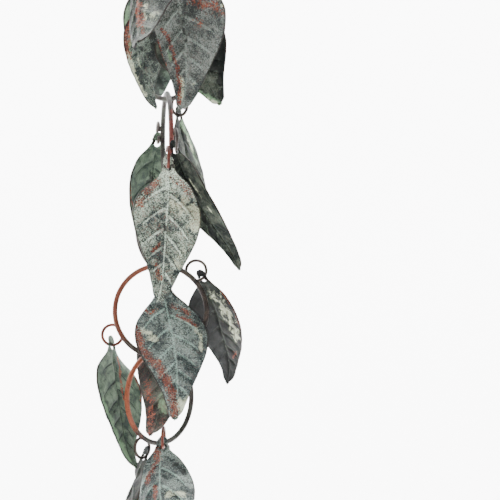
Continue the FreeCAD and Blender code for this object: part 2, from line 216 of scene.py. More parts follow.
LEAVES: Tuple[LeafPlace, ...] = (
    # leaf_01
    LeafPlace(
        ring=1, at=-145, side=-1, facing=-5, cant=-16, lean=21, bend=5, twist=11, swing=-4, curl=22,
        tip=36, cup=8.5, roll=-8, sway=7, size=1.29, wide=1.29, left=0.56, seat=0.9, shift=-0.2,
        patina=FOLD_SHADE,
        marks=(
            Mark(Tint.RED, ((-2, 34), (-1.5, 46), (0.5, 60)), 2.3, 1),
            Mark(Tint.DARK_AND_SHADE, ((-6, 40), (-4.5, 56), (-2, 70)), 1.3, 0.8),
            # painted shadow along the right margin
            Mark(Tint.DARK_AND_SHADE, ((19, 42), (13, 54), (7, 66)), 1.6, 0.7),
            Mark(Tint.RED, ((2, 67), (2, 63.5)), 0.8, 0.8),
            Mark(Tint.DARK_AND_SHADE, ((-0.5, 77.5), (-1.5, 70.5)), 1.8, 0.8),
            Mark(Tint.PALE_AND_HIGHLIGHT, ((6.5, 58),), 3, 0.6),
            Mark(Tint.PALE_AND_HIGHLIGHT, ((2.5, 48), (3, 59)), 1.2, 0.45),
        )),
    # leaf_02
    LeafPlace(
        ring=1, at=26, side=1, facing=111, cant=15, lean=16, twist=-8, cup=5, size=0.98, wide=0.98,
        seat=0.9, shift=-0.1, patina=SMOOTH_GREEN),
    # leaf_03
    LeafPlace(
        ring=1, at=150, side=1, facing=-78, cant=-15, lean=14, twist=-6, cup=5, seat=0.7),
    # leaf_04
    LeafPlace(
        ring=2, at=172, side=-1, facing=-32, cant=-21, lean=27, bend=-22, twist=5, swing=-21, curl=23,
        tip=23, cup=6.5, roll=15, sway=-10, size=1.08, wide=0.8, patina=GREY_FLAT,
        marks=(
            Mark(Tint.RED, ((8, 22), (12, 24.5), (16.5, 27.5)), 4.2, 0.62),
            Mark(Tint.RED, ((7, 33),), 3, 0.4),
            Mark(Tint.RED, ((-14, 32.5), (-10.5, 37), (-8, 46.5), (-6, 54.5), (-4.5, 62.5), (-2, 76.5)),
                 1.15, 1),
            Mark(Tint.RED, ((-18, 38.5), (-16.5, 45), (-12.5, 53)), 0.8, 0.9),
            Mark(Tint.DARK_AND_SHADE, ((4, 15), (0, 31.5), (0, 42)), 1, 0.42),
            Mark(Tint.PALE_AND_HIGHLIGHT, ((19, 20.5), (19.5, 27)), 1.5, 0.6),
            Mark(Tint.PALE_AND_HIGHLIGHT, ((-3, 62), (-1.5, 73.5)), 1.6, 0.6),
            Mark(Tint.PALE_AND_HIGHLIGHT, ((3.5, 66),), 2, 0.5),
            Mark(Tint.GREEN, ((-11, 44), (-9, 51)), 1.6, 0.6),
        )),
    # leaf_05
    LeafPlace(
        ring=2, at=219, side=-1, facing=22, cant=20, twist=-4, swing=-28, curl=-12, tip=7, roll=-5,
        sway=2, size=0.79, wide=1.34, seat=0.5, shift=0.7, veins=Veins.SUNK, patina=OLIVE,
        marks=(
            # painted shade: these two dark marks darken the right side
            Mark(Tint.DARK_AND_SHADE, ((20.5, 31.5), (17, 44), (7.5, 63), (4.5, 75)), 3.6, 1),
            Mark(Tint.DARK_AND_SHADE, ((14, 33.5), (6, 53.5)), 5, 0.8),
            Mark(Tint.GREEN, ((-8.5, 63.5), (-3, 75), (0.5, 81)), 2.2, 1),
            Mark(Tint.PALE_AND_HIGHLIGHT, ((-7.5, 66.5), (-2.5, 76.5), (1, 81)), 1, 0.6),
        )),
    # leaf_06
    LeafPlace(
        ring=2, at=11, side=-1, facing=20, cant=3, lean=-11, bend=-4, twist=3, swing=7, curl=-1,
        tip=-60, cup=-1.5, sway=8, size=1.05, wide=1.12, seat=0.9, shift=-0.4, veins=Veins.SUNK,
        patina=SMOOTH_GREEN,
        marks=(
            Mark(Tint.GREEN, ((-19.5, 26), (-17.5, 36.5)), 3, 0.5),
            Mark(Tint.DARK_AND_SHADE, ((0, 56), (0, 80)), 9, 0.75),
        )),
    # leaf_07
    LeafPlace(
        ring=2, at=212, side=1, facing=51, cant=5, lean=-10, twist=10, swing=24, curl=42, tip=14,
        cup=1.5, roll=2.5, sway=22, size=0.79, wide=1.12, seat=0.5, shift=-0.2, veins=Veins.SUNK,
        patina=SHADED,
        marks=(
            Mark(Tint.RED, ((-17.5, 18), (-18.7, 30), (-17, 40), (-14.5, 46)), 3.2, 1),
            Mark(Tint.PALE_AND_HIGHLIGHT, ((-14.5, 47), (-12, 53), (-7.6, 63), (-4.8, 71)), 2.8, 1),
            Mark(Tint.GREEN, ((-14, 36), (-13, 46)), 1.8, 0.6),
            Mark(Tint.DARK_AND_SHADE, ((4, 23), (9.5, 39)), 3.2, 1),
            Mark(Tint.GREEN, ((-3, 47.5),), 3, 0.5),
            Mark(Tint.PALE_AND_HIGHLIGHT, ((-5, 46), (-3, 50)), 1.5, 0.5),
            Mark(Tint.DARK_AND_SHADE, ((-8.5, 38.5), (-1, 37)), 2.2, 0.5),
        )),
    # leaf_08
    LeafPlace(
        ring=3, at=-104, side=-1, facing=62, cant=5, lean=6, bend=7, twist=-3, swing=-1, curl=13,
        tip=-28, cup=-0.5, roll=1, sway=3, size=0.93, seat=0.9, shift=0.1, veins=Veins.SUNK,
        patina=OLIVE,
        marks=(
            Mark(Tint.GREEN, ((2, 5), (11.5, 17), (12.5, 28.5)), 3.2, 0.8),
            Mark(Tint.PALE_AND_HIGHLIGHT, ((6.5, 11.5), (13, 23)), 2, 0.45),
            Mark(Tint.DARK_AND_SHADE, ((-6.5, 7), (-11, 23), (-2.5, 47), (0.5, 62.5)), 2.6, 0.9),
        )),
    # leaf_09
    LeafPlace(
        ring=4, at=200, side=1, facing=-58, cant=-18, lean=-6, bend=13, twist=-29, curl=21, tip=26,
        roll=6, sway=6, size=1.03, wide=0.96, seat=0.4, shift=0.4, patina=LIGHT_MOTTLED,
        marks=(
            Mark(Tint.RED, ((-17, 23), (-13, 15), (-8, 8.5)), 3, 0.75),
            Mark(Tint.RED, ((1.5, 6), (7.5, 9.5), (13, 13.5)), 2.4, 0.62),
            Mark(Tint.PALE_AND_HIGHLIGHT, ((4, 21), (10.5, 21.5), (16.5, 24), (17.5, 31)), 4.6, 1),
            Mark(Tint.PALE_AND_HIGHLIGHT, ((7.5, 55), (11.5, 46)), 3, 0.6),
            Mark(Tint.RED, ((-7, 51), (-3.5, 45)), 1, 0.8),
            Mark(Tint.RED, ((-4, 59.5), (-1.5, 66)), 2, 0.55),
            Mark(Tint.DARK_AND_SHADE, ((-1, 32), (0, 42.5)), 1.2, 0.5),
        )),
    # leaf_10
    LeafPlace(
        ring=4, at=8, side=1, facing=21, cant=-11, lean=-7, bend=5, twist=-4, swing=7, curl=2, tip=6,
        cup=-5, sway=8.5, size=0.95, wide=0.97, seat=0.7, shift=-0.6, veins=Veins.SUNK,
        patina=SMOOTH_GREEN,
        marks=(
            Mark(Tint.RED, ((-20.5, 28), (-18.5, 36.5), (-14, 42.5)), 0.9, 1),
            Mark(Tint.DARK_AND_SHADE, ((0, 18.5), (-2, 30.5)), 4.5, 0.45),
        )),
    # leaf_11
    LeafPlace(
        ring=4, at=181, side=-1, facing=-39, cant=16, lean=-9, bend=-9, twist=-17, swing=-15, curl=34,
        tip=45, cup=-9.5, roll=-6.5, sway=24, size=0.94, wide=0.68, seat=0.9, shift=-0.3,
        veins=Veins.SUNK, patina=OLIVE,
        marks=(
            # painted shade in the fold
            Mark(Tint.DARK_AND_SHADE, ((-2.5, 42), (-6, 58.5), (-4, 72.5)), 2.4, 0.85),
            Mark(Tint.DARK_AND_SHADE, ((1, 20), (3, 34.5)), 1.5, 0.7),
            # painted highlight on the fold
            Mark(Tint.PALE_AND_HIGHLIGHT, ((3, 20), (6, 37), (7.5, 46)), 1.2, 0.4),
        )),
    # leaf_12
    LeafPlace(
        ring=5, at=-95, side=1, facing=11, cant=11, lean=13, bend=19, twist=-6, swing=-8, curl=-1,
        tip=-37, cup=1, sway=-11, size=1.04, wide=1.1, seat=0.6, shift=-0.6,
        marks=(
            Mark(Tint.RED, ((3.5, 9.5), (7.5, 11.5), (12, 15)), 1.6, 0.85),
            Mark(Tint.RED, ((5.5, 17), (10.5, 19.5), (14, 23)), 1.7, 0.8),
            Mark(Tint.RED, ((-19, 23), (-18, 35), (-13.5, 42.5), (-9, 48), (-6, 56), (-2.5, 65.5),
                            (-0.5, 77)), 2.5, 1),
            Mark(Tint.RED, ((-12, 12), (-7, 11)), 3, 0.4),
            Mark(Tint.PALE_AND_HIGHLIGHT, ((-16, 24), (-10.5, 29.5)), 2.8, 0.7),
            Mark(Tint.PALE_AND_HIGHLIGHT, ((14, 25), (16.5, 32), (15, 39.5)), 1.5, 0.55),
            Mark(Tint.PALE_AND_HIGHLIGHT, ((1.5, 71), (6, 70.5), (3.5, 77.5)), 2.8, 0.9),
        )),
    # leaf_13
    LeafPlace(
        ring=5, at=-79, side=-1, facing=12, cant=-11, lean=-7, bend=-6, twist=1, swing=-11, curl=-15,
        tip=-22, cup=-6.5, roll=-1.5, sway=-12, size=1.23, wide=0.92, seat=0.7, shift=0.3,
        veins=Veins.SUNK, patina=DARK_BROWN,
        marks=(
            Mark(Tint.RED, ((-11, 47), (-7, 56.5), (-3.5, 71.5), (-1, 79)), 2.6, 0.5),
            Mark(Tint.GREEN, ((-1, 56.5), (2.5, 65)), 4, 0.5),
            Mark(Tint.DARK_AND_SHADE, ((-8, 41.5), (-2, 49)), 5, 0.6),
        )),
    # leaf_14
    LeafPlace(
        ring=6, at=206, side=1, facing=68, cant=-3, lean=6, bend=3, twist=5, swing=-14, curl=-8,
        tip=34, cup=-1.5, roll=-2, sway=10, size=0.94, wide=1.16, seat=0.9, shift=-0.3,
        veins=Veins.SUNK, patina=SMOOTH_GREEN,
        marks=(
            Mark(Tint.RED, ((5.5, 6.5), (4, 22), (4, 34.5)), 0.8, 1),
            Mark(Tint.RED, ((16.5, 17), (20.5, 27.5), (18.5, 40)), 0.9, 0.9),
            Mark(Tint.GREEN, ((-17, 39.5), (-8.5, 57), (-1.5, 74)), 2.5, 0.8),
            Mark(Tint.DARK_AND_SHADE, ((-7, 29.5), (-1, 23.5)), 0.9, 0.8),
            Mark(Tint.DARK_AND_SHADE, ((-7.5, 45.5), (0, 37)), 0.9, 0.7),
        )),
    # leaf_15
    LeafPlace(
        ring=6, at=49, side=1, facing=-34, cant=40, lean=-35, bend=5, twist=3, swing=-3, curl=-16,
        tip=38, cup=-3.5, roll=-1.5, sway=-17, size=0.93, wide=1.16, seat=0.6, shift=0.2,
        veins=Veins.SUNK, patina=NEAR_BLACK,
        marks=(
            Mark(Tint.PALE_AND_HIGHLIGHT, ((5, 13), (10, 26.5), (13, 40)), 6.5, 0.5),
            Mark(Tint.RED, ((11, 8.5), (19, 19.5), (20, 34)), 0.8, 0.9),
            # painted shade: these two dark marks darken the left half down to the tip
            Mark(Tint.DARK_AND_SHADE, ((-9.5, 26), (-8, 50.5), (-5, 70.5), (0, 79.5)), 8, 1),
            Mark(Tint.DARK_AND_SHADE, ((-8, 12), (-15.5, 26), (-14, 40)), 6, 1),
            Mark(Tint.RED, ((7, 55.5), (5, 60.5)), 2, 0.5),
        )),
    # leaf_16
    LeafPlace(
        ring=7, at=-112, side=1, facing=-45, cant=19, lean=18, bend=7, twist=19, swing=2, curl=-6,
        cup=4.5, roll=-1, sway=-0.5, size=1.01, wide=0.95, seat=0.1, shift=-0.4, patina=NEAR_BLACK,
        marks=(
            Mark(Tint.PALE_AND_HIGHLIGHT, ((0.5, 5.5), (-12.5, 20)), 1, 0.35),
        )),
    # leaf_17
    LeafPlace(
        ring=8, at=121, side=-1, facing=-3, cant=-34, lean=46, bend=5, twist=13, swing=-10, curl=-17,
        tip=-2, cup=8, roll=2.5, sway=10.5, size=1.19, wide=0.82, shift=-0.5,
        marks=(
            Mark(Tint.RED, ((-3, 2.5), (-2, 9.5), (-5.5, 14.5), (-10, 21.5)), 2.2, 0.95),
            Mark(Tint.RED, ((-4, 27.5), (-4, 36.5)), 1.6, 0.9),
            Mark(Tint.PALE_AND_HIGHLIGHT, ((4, 35), (12, 34.5)), 2.6, 0.9),
            Mark(Tint.DARK_AND_SHADE, ((8.5, 13.5), (13.5, 17.5)), 2.2, 0.6),
            Mark(Tint.DARK_AND_SHADE, ((15, 24),), 2, 0.5),
        )),
    # leaf_18
    LeafPlace(
        ring=8, at=45, side=1, facing=33, cant=15, lean=-24, bend=-12, twist=-5, curl=8, cup=-4,
        seat=0.6, shift=-0.1, veins=Veins.SUNK),
)


def ease(x: float) -> float:
    """Smooth step from 0 to 1."""
    x = min(max(x, 0.0), 1.0)
    return x * x * (3.0 - 2.0 * x)


def bump(distance: float, width: float) -> float:
    """A rounded bell of height 1 at distance 0."""
    return math.exp(-(distance / width) ** 2)


@dataclass(frozen=True)
class Span:
    """A stretch over which something comes in or goes out."""

    start: float
    run: float

    def ease(self, at: float) -> float:
        """Smooth step from 0 at the start to 1 at the end."""
        return ease((at - self.start) / self.run)

    def past(self, at: float) -> float:
        """0 up to the start, then growing evenly, 1 at the end."""
        return max(at - self.start, 0.0) / self.run


# spans of a leaf's length, mm below the hole
NECK = Span(3.0, 12.0)
CURL = Span(10.0, 70.0)
TIP = Span(55.0, 26.0)
SHAPING = Span(4.0, 14.0)
TWIST = Span(2.0, 14.0)
SWEEP = Span(12.0, 69.0)
EMBOSSING = Span(4.0, 8.0)
RIB = Span(2.0, 6.0)
LEAD_DOWN = Span(5.0, 15.0)
LEAD_BACK = Span(36.0, 45.0)
# spans of a side vein, as shares of the way from midrib to margin
VEIN_END = Span(0.62, 0.3)
# the painted shade along a vein's foot fades out over this share of the way
FOOT_SHADE_END = Span(0.7, 0.3)
# hand-made unevenness: waves per mm, step between leaves, height in mm
DENTS: Tuple[Triple, ...] = ((0.11, 7.3, 0.5), (0.35, 3.1, 0.16))


@dataclass
class Outline:
    """The flat leaf: its half width at each length below the hole, all in mm.

    The net's rows run down along the side veins by lead_down and draw together again by lead_back; the
    last tip_round mm are rounded, but for what blunt leaves out.
    """

    end: float = 81.0
    tab_radius: float = 3.5
    tab_centre: float = -3.7
    half_width_max: float = 20.6
    tip_round: float = 3.5
    lead_down: float = 11.0
    lead_back: float = 12.5
    blunt: float = 0.97
    stations: Path = (
        (-7.2, 3.4), (-3.6, 3.5), (0.0, 4.1), (3.0, 5.6), (6.0, 8.2), (9.5, 11.8), (16.5, 17.2), (22.5, 19.8),
        (30.0, 20.6), (40.0, 18.6), (49.5, 14.7), (56.0, 11.7), (63.0, 8.6), (71.5, 5.6), (78.0, 3.4),
        (81.0, 2.0),
    )

    def half_width(self, length: float) -> float:
        """Half width at a length, by a smooth curve through the stations."""
        s = self.stations
        if length <= s[0][0]:
            return s[0][1]
        if length >= s[-1][0]:
            return s[-1][1]
        i = max(k for k in range(len(s) - 1) if s[k][0] <= length)
        step = s[i + 1][0] - s[i][0]
        t = (length - s[i][0]) / step
        start = (2 * t**3 - 3 * t**2 + 1) * s[i][1] + (t**3 - 2 * t**2 + t) * self.slope(i) * step
        return start + (3 * t**2 - 2 * t**3) * s[i + 1][1] + (t**3 - t**2) * self.slope(i + 1) * step

    def slope(self, k: int) -> float:
        """Slope of the outline at station k."""
        s = self.stations
        low, high = max(k - 1, 0), min(k + 1, len(s) - 1)
        return (s[high][1] - s[low][1]) / (s[high][0] - s[low][0])

    def spot(self, v: float, length: float) -> Tuple[float, float]:
        """The flat point of a net line.

        Args:
            v: -1 at the left margin, 0 at the midrib, 1 at the right margin.
            length: mm along the midrib.

        Returns:
            (aside, length) in mm; the tab's top is round and the rows lead down along the side veins.
        """
        if length < self.tab_centre:
            s = (self.tab_centre - length) / self.tab_radius
            aside = self.tab_radius * (math.sin(math.pi / 2 * v) * s + v * (1.0 - s))
            return aside, self.tab_centre - self.tab_radius * s * math.cos(math.pi / 2 * v)
        lead = self.lead_down * LEAD_DOWN.ease(length) - self.lead_back * LEAD_BACK.ease(length)
        reach = length + lead * abs(v)
        point = max(length - self.end + self.tip_round, 0.0) / self.tip_round
        return self.half_width(reach) * v * math.sqrt(1.0 - self.blunt * point * point), reach


@dataclass
class RingFrame:
    """A big ring's place: centre in mm, and its two axes."""

    heading: float
    centre: Vector
    along: Vector = field(init=False)
    normal: Vector = field(init=False)

    def __post_init__(self) -> None:
        """Works out the ring's axes from its heading."""
        turn = math.radians(self.heading)
        self.along = Vector((math.cos(turn), math.sin(turn), 0.0))
        self.normal = Vector((-math.sin(turn), math.cos(turn), 0.0))


@dataclass
class Chain:
    """The sizes of rings and loops that set where everything hangs, mm."""

    ring_radius: float = 27.5
    ring_rod: float = 3.0
    link_clearance: float = 0.3
    loop_radius: float = 6.05
    loop_rod: float = 1.8
    loop_reach: float = 32.4

    def rings(self) -> List[RingFrame]:
        """The eight big rings, from the top."""
        out = []
        for heading, above, below in RINGS:
            centre = Vector((0.0, 0.0, -(self.ring_radius + self.ring_rod / 2)))
            if out:
                upper = out[-1]
                here = RingFrame(heading, centre)
                rise = math.sqrt(self.ring_radius**2 - above**2) + math.sqrt(self.ring_radius**2 - below**2)
                drop = rise - self.ring_rod - self.link_clearance
                centre = upper.centre + upper.along * above + here.along * below - Vector((0, 0, drop))
            out.append(RingFrame(heading, centre))
        return out


@dataclass
class Leaf:
    """A bent, cupped and embossed leaf as one dense sheet; lengths in mm.

    Side veins start at first_vein and every vein_pitch after it, closer by vein_closing each, and rise by
    vein_rise and vein_curve; panels swell between them, and shade is painted along each vein's foot.
    """

    name: str
    place: LeafPlace
    ring: RingFrame
    chain: Chain
    seed: int
    sheet: float = 0.8
    hole_radius: float = 2.1
    across: int = 60
    down: int = 170
    first_vein: float = 11.0
    vein_pitch: float = 12.9
    vein_count: int = 5
    vein_stagger: float = 0.35
    vein_closing: float = 0.03
    vein_rise: float = 0.38
    vein_rise_step: float = 0.12
    vein_curve: float = 0.026
    vein_height: float = 0.6
    vein_width: float = 1.0
    vein_taper: float = 0.4
    rib_height: float = 0.75
    rib_width: float = 1.25
    rib_taper: float = 0.6
    rib_tint_width: float = 0.7
    rib_clearance: float = 2.0
    # where and how wide shade is painted beside each side vein, mm
    foot_shade_offset: float = 1.5
    foot_shade_width: float = 0.9
    swell_raised: float = 0.85
    swell_sunk: float = 0.35
    swell_taper: float = 0.8
    tip_fade: float = 12.0
    draw_in: float = 0.41
    row_crowding: float = 1.15
    outline: Outline = field(default_factory=Outline)
    rod: Vector = field(init=False)
    right: Vector = field(init=False)
    normal: Vector = field(init=False)
    upward: Vector = field(init=False)
    swing: Matrix = field(init=False)
    spines: Dict[float, Triple] = field(init=False)

    def __post_init__(self) -> None:
        """Works out the axes that the tab hangs by."""
        p, ring, up = self.place, self.ring, Vector((0, 0, 1))
        at = math.radians(p.at)
        offset = p.side * (self.chain.ring_rod + self.chain.loop_rod) / 2
        centre = (ring.centre + ring.along * (self.chain.loop_reach * math.cos(at))
                  + up * (self.chain.loop_reach * math.sin(at)) + ring.normal * offset)
        hang = math.radians(p.cant - 90)
        self.rod = (centre + ring.along * (self.chain.loop_radius * math.cos(hang))
                    + up * (self.chain.loop_radius * math.sin(hang)))
        axis = up * math.cos(hang) - ring.along * math.sin(hang)
        heading, lean = math.radians(p.facing - p.twist), math.radians(p.lean)
        level = Vector((math.sin(heading), -math.cos(heading), 0))
        self.right = Vector((math.cos(heading), math.sin(heading), 0))
        self.normal = level * math.cos(lean) + up * math.sin(lean)
        self.upward = up * math.cos(lean) - level * math.sin(lean)
        self.swing = Matrix.Rotation(math.radians(p.swing), 3, axis)
        self.spines = {}

    def slope(self, length: float) -> float:
        """Slope of the bent midline at a length, radians."""
        p = self.place
        bent = p.bend * NECK.ease(length) + p.curl * CURL.past(length)
        return math.radians(bent + p.tip * TIP.past(length) ** 2)

    def spine(self, length: float) -> Triple:
        """Slope of the midline at a length, and how far it has gone forward and upward."""
        key = round(length, 3)
        if key not in self.spines:
            steps = max(2, int(abs(length) / 2.0) + 1)
            step = length / steps
            slopes = [self.slope((i + 0.5) * step) for i in range(steps)]
            forward = sum(math.sin(s) for s in slopes) * step
            self.spines[key] = (self.slope(length), forward, -sum(math.cos(s) for s in slopes) * step)
        return self.spines[key]

    def point(self, aside: float, length: float, relief: float) -> Vector:
        """A point of the visible face in the row frame, metres.

        Args:
            aside: mm to the right of the midrib on the flat leaf.
            length: mm below the hole.
            relief: height of the embossing, mm.
        """
        p = self.place
        slope, forward, upward = self.spine(length)
        shape = SHAPING.ease(length)
        w = aside / self.outline.half_width_max
        drop = shape * (p.cup * w * w + p.roll * w)
        pull = self.draw_in * shape * abs(p.cup) / self.outline.half_width_max
        drawn_in = aside * (1.0 - pull * w * w)
        if aside < 0:
            drawn_in *= 1.0 + (p.left - 1.0) * shape
        tab = min(p.wide, 1.0)
        wide = tab + (p.wide - tab) * shape
        lower = Vector((0, math.sin(slope), -math.cos(slope)))
        turn = Matrix.Rotation(math.radians(-p.twist) * TWIST.ease(length), 3, lower)
        sideways = turn @ Vector((1, 0, 0))
        outward = turn @ Vector((0, math.cos(slope), math.sin(slope)))
        sweep = p.sway * SWEEP.past(length) ** 2
        local = Vector((0, forward, upward)) + sideways * (drawn_in * wide + sweep)
        local = (local + outward * (relief - drop)) * p.size
        offset = (self.right * (local.x + p.shift) + self.normal * (local.y + self.sheet / 2)
                  + self.upward * (local.z - p.seat))
        return (self.rod + self.swing @ offset) * MM

    def vein_distance(self, aside: float, length: float) -> Triple:
        """How near a flat point lies to a side vein.

        Returns:
            Distance to the nearest side vein, how far along that vein from 0 to 1, and the panel's swell.
        """
        best, along, swell = math.inf, 0.0, 0.0
        x = abs(aside)
        stagger = 0.0 if aside < 0 else self.vein_stagger * self.vein_pitch
        reach = max(self.outline.half_width(length), 1.0)
        lines = []
        for k in range(-1, self.vein_count + 1):
            start = self.first_vein + stagger + self.vein_pitch * k * (1.0 - self.vein_closing * k)
            rise = self.vein_rise + self.vein_rise_step * k
            line = start + rise * x + self.vein_curve * x * x
            lines.append(line)
            if 0 <= k < self.vein_count:
                distance = abs(length - line) / math.sqrt(1.0 + rise * rise)
                if distance < best:
                    best, along = distance, x / reach
        for low, high in zip(lines, lines[1:]):
            if low <= length <= high:
                swell = math.sin(math.pi * (length - low) / (high - low)) ** 2
        return best, along, swell

    def relief(self, aside: float, length: float) -> Tuple[float, float, float, float]:
        """Embossing at a flat point.

        Returns:
            Height in mm, and how much of a side vein, of the midrib and of a vein's painted foot shade lies
            here, 0 to 1.
        """
        blade = EMBOSSING.ease(length)
        fade = ease((self.outline.end - length) / self.tip_fade)
        distance, along, swell = self.vein_distance(aside, length)
        inner = ease(abs(aside) / self.rib_clearance)
        panel = blade * fade * inner
        vein_width = self.vein_width - self.vein_taper * along
        vein = bump(distance, vein_width) * panel * (1.0 - VEIN_END.ease(along))
        rib_width = self.rib_width - self.rib_taper * length / self.outline.end
        rib = bump(aside, rib_width) * RIB.ease(length) * fade
        rib_shade = bump(aside, self.rib_tint_width) * RIB.ease(length)
        height = self.vein_height * vein + self.rib_height * rib
        height -= self.swell_height(swell) * panel * (1.0 - self.swell_taper * along**3)
        dents = sum(noise.noise(Vector((aside * waves, length * waves, self.seed * step))) * deep
                    for waves, step, deep in DENTS)
        height = height * self.place.veins.value + dents * blade
        # painted shade along the foot of each side vein, on both sides
        foot_shade = bump(distance - self.foot_shade_offset, self.foot_shade_width) * panel
        foot_shade *= 1.0 - FOOT_SHADE_END.ease(along)
        return height, vein, rib_shade, foot_shade

    def swell_height(self, swell: float) -> float:
        """Depth of a panel between two side veins, mm; panels are flatter where the veins are sunk."""
        return (self.swell_raised if self.place.veins is Veins.RAISED else self.swell_sunk) * swell

    def masks(self, aside: float, length: float) -> List[float]:
        """How much of each tint lies at a flat point, 0 to 1, in the order of Tint."""
        out = [0.0] * len(Tint)
        here = Vector((aside, length))
        for mark in self.place.marks:
            points = [Vector(q) for q in mark.path]
            if len(points) == 1:
                distance = (here - points[0]).length
            else:
                distance = min(self.to_segment(here, a, b) for a, b in zip(points, points[1:]))
            value = mark.strength * bump(distance, mark.width)
            out[mark.tint.value] = max(out[mark.tint.value], value)
        return out

    @staticmethod
    def to_segment(here: Vector, a: Vector, b: Vector) -> float:
        """Distance from a point to the segment from a to b."""
        run = b - a
        t = min(max((here - a).dot(run) / max(run.length_squared, 1e-9), 0.0), 1.0)
        return (here - (a + run * t)).length

    def build(self) -> bpy.types.Object:
        """Builds the leaf's mesh, with the masks of its patina and its painted shade stored on its points."""
        bm = bmesh.new()
        bmesh.ops.create_grid(bm, x_segments=self.across, y_segments=self.down, size=1.0, calc_uvs=True)
        tints = bm.verts.layers.float_color.new("tints")
        lines = bm.verts.layers.float_color.new("lines")
        uv = bm.loops.layers.uv.verify()
        for face in bm.faces:
            for loop in face.loops:
                loop[uv].uv = ((loop.vert.co.x + 1) / 2, (1 - loop.vert.co.y) / 2)
        top = self.outline.tab_centre - self.outline.tab_radius
        flats = {}
        for vert in bm.verts:
            v = math.copysign(abs(vert.co.x) ** self.row_crowding, vert.co.x)
            t = (1 - vert.co.y) / 2
            length = top + (self.outline.end - top) * t
            flats[vert] = self.outline.spot(v, length)
            vert[lines] = (0.0, 0.0, abs(v), 0.0)
        self.open_hole(bm, flats)
        for vert in bm.verts:
            aside, length = flats[vert]
            height, vein, rib, foot_shade = self.relief(aside, length)
            vert[tints] = self.masks(aside, length)
            vert[lines] = (vein, rib, vert[lines][2], foot_shade)
            vert.co = self.point(aside, length, height)
        mesh = bpy.data.meshes.new(self.name)
        bm.to_mesh(mesh)
        bm.free()
        mesh.shade_smooth()
        piece = bpy.data.objects.new(self.name, mesh)
        bpy.context.collection.objects.link(piece)
        solid = piece.modifiers.new("sheet", "SOLIDIFY")
        solid.thickness = self.sheet * MM
        solid.offset = -1.0
        solid.use_even_offset = False
        return piece

    def open_hole(self, bm: bmesh.types.BMesh, flats: dict) -> None:
        """Opens the hanging hole in the net.

        Args:
            bm: the net.
            flats: each vertex's flat point, changed for those on the hole's edge.
        """
        radius = self.hole_radius / self.place.size

        def reach(vert: bmesh.types.BMVert) -> float:
            aside, length = flats[vert]
            return math.hypot(aside * min(self.place.wide, 1.0), length)

        inside = [vert for vert in bm.verts if reach(vert) < radius]
        bmesh.ops.delete(bm, geom=inside, context="VERTS")
        for vert in bm.verts:
            distance = reach(vert)
            if distance < 2 * radius and vert.is_boundary:
                aside, length = flats[vert]
                flats[vert] = (aside * radius / distance, length * radius / distance)


